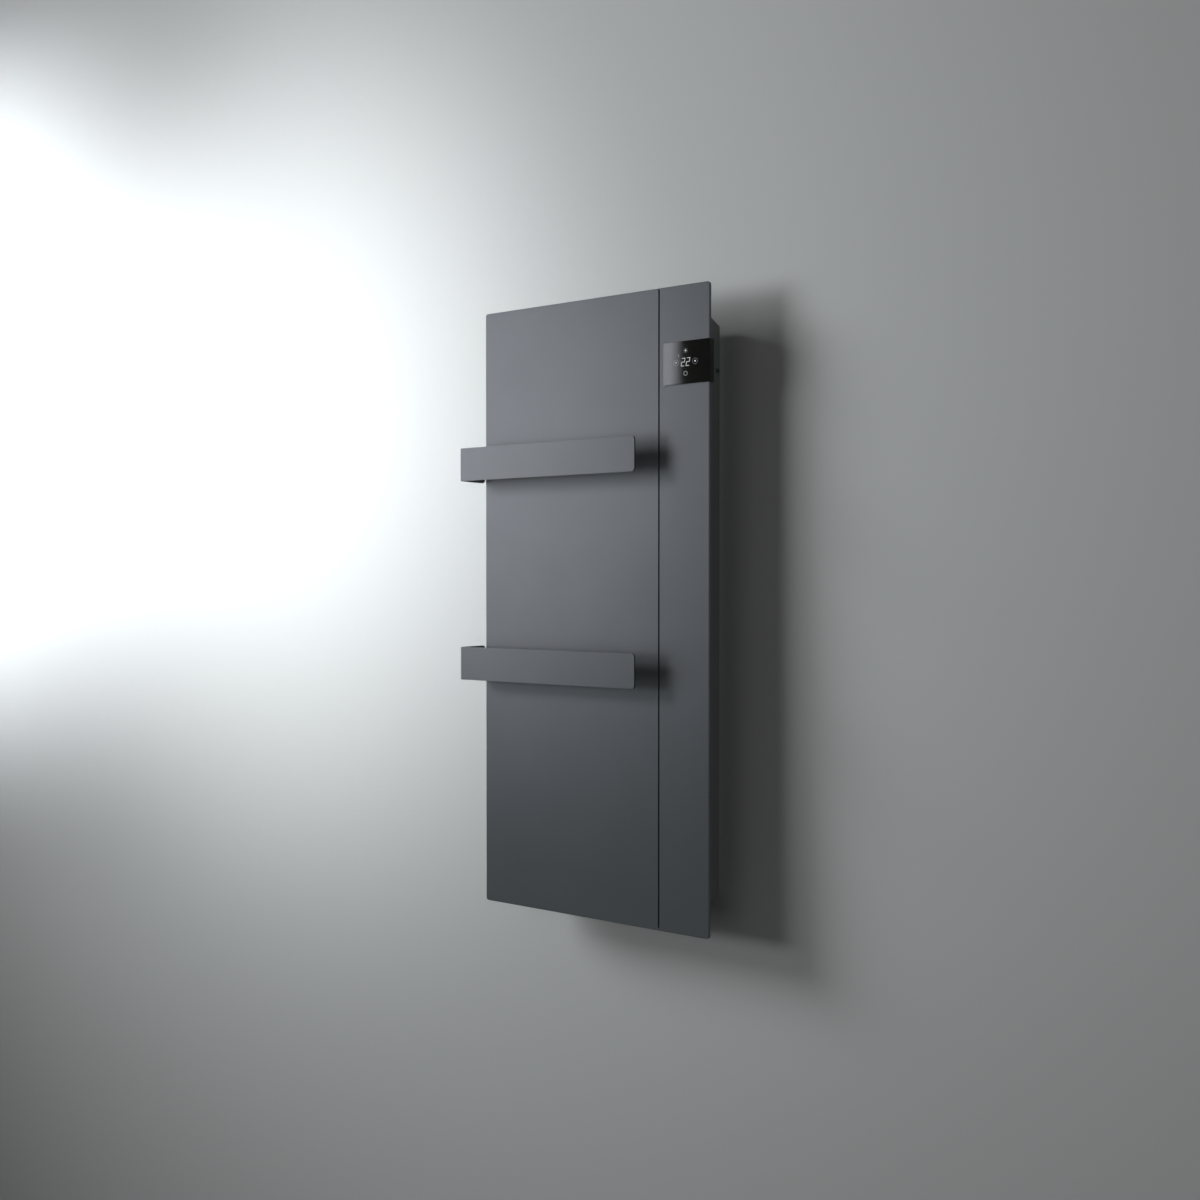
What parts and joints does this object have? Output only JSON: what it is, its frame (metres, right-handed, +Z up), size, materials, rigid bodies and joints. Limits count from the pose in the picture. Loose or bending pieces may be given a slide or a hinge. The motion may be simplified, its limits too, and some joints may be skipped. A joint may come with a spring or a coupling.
{
  "type": "heated towel rail",
  "caption": "Wall-hung electric heated towel rail: folded flat panel with open-ended towel bars, touch control, vented rear casing and wall bracket.",
  "frame": {"origin": "middle of the four wall fixing holes, on the wall plane, level with the middle of the front panel", "axes": "+X to the right as seen from the room, +Y into the wall, +Z up along the panel height"},
  "size_m": [0.4864, 0.17, 1.1],
  "materials": {
    "satin_graphite": "fine satin powder coat, anthracite",
    "casing_graphite": "satin powder coat, dark anthracite",
    "black_plastic": "fine-grained moulded plastic, black",
    "black_glass": "black back-painted glass, gloss",
    "zinc_steel": "zinc-plated steel",
    "dark_screws": "black-zinc steel",
    "copper_studs": "copper-washed weld studs",
    "galvanised": "galvanised sheet",
    "bracket_steel": "powder-coated bracket, dark anthracite",
    "aluminium_plate": "bare extruded aluminium",
    "cable_silicone": "silicone-sheathed heating cable",
    "mineral_wool": "mineral wool board",
    "white_plastic": "off-white plastic",
    "black_rubber": "black rubber",
    "green_board": "green circuit board",
    "display_black": "black display body",
    "blue_relay": "blue relay case",
    "transformer_brown": "varnished transformer",
    "capacitor_black": "sleeved capacitor",
    "red_lead": "silicone lead, red",
    "brown_lead": "lead, brown",
    "green_lead": "earth lead, green and yellow",
    "grey_lead": "lead, grey",
    "grey_lock": "grey nylon"
  },
  "bodies": {
    "towel_rail": {"front_panel": "satin_graphite", "slot_insert": "black_plastic", "upper_towel_bar": "satin_graphite", "lower_towel_bar": "satin_graphite", "bar_anchors": "zinc_steel", "bar_screws": "dark_screws", "rear_casing": "casing_graphite", "panel_studs": "copper_studs", "casing_nuts": "zinc_steel", "diffuser_plate": "aluminium_plate", "heating_cable": "cable_silicone", "insulation_board": "mineral_wool", "heat_shield": "galvanised", "shield_studs": "copper_studs", "shield_nuts": "zinc_steel", "limit_thermostats": "white_plastic", "heater_leads": "red_lead", "partition_wall": "galvanised", "partition_screws": "dark_screws", "lead_grommet": "black_rubber", "control_glass": "black_glass", "control_housing": "black_plastic", "display_board": "green_board", "display_module": "display_black", "touch_springs": "zinc_steel", "display_lead": "grey_lead", "power_board": "green_board", "board_pillars": "white_plastic", "board_screws": "zinc_steel", "relay": "blue_relay", "transformer": "transformer_brown", "filter_capacitors": "capacitor_black", "board_connectors": "white_plastic", "terminal_block": "white_plastic", "terminal_screws": "zinc_steel", "mains_leads": "brown_lead", "lead_clips": "white_plastic", "earth_lead": "green_lead", "earth_nut": "zinc_steel", "switch_body": "black_plastic", "cable_gland": "black_plastic", "gland_nut": "black_plastic", "room_sensor": "black_rubber", "sensor_clip": "white_plastic", "sensor_lead": "grey_lead", "wall_bracket": "bracket_steel", "wall_buffers": "black_rubber"},
    "rocker": {"rocker_key": "black_plastic"},
    "left_lock": {"left_bracket_lock": "grey_lock"},
    "right_lock": {"right_bracket_lock": "grey_lock"}
  },
  "joints": [
    {"name": "rocker_tilt", "type": "hinge", "parent": "towel_rail", "child": "rocker", "pos_m": [0.2108, -0.024, 0.413], "axis": [0, 0, 1], "range_deg": [0, 16]},
    {"name": "left_lock_turn", "type": "hinge", "parent": "towel_rail", "child": "left_lock", "pos_m": [-0.075, -0.00535, -0.385], "axis": [0, 0, -1], "range_deg": [0, 90]},
    {"name": "right_lock_turn", "type": "hinge", "parent": "towel_rail", "child": "right_lock", "pos_m": [0.075, -0.00535, -0.385], "axis": [0, 0, 1], "range_deg": [0, 90]}
  ]
}
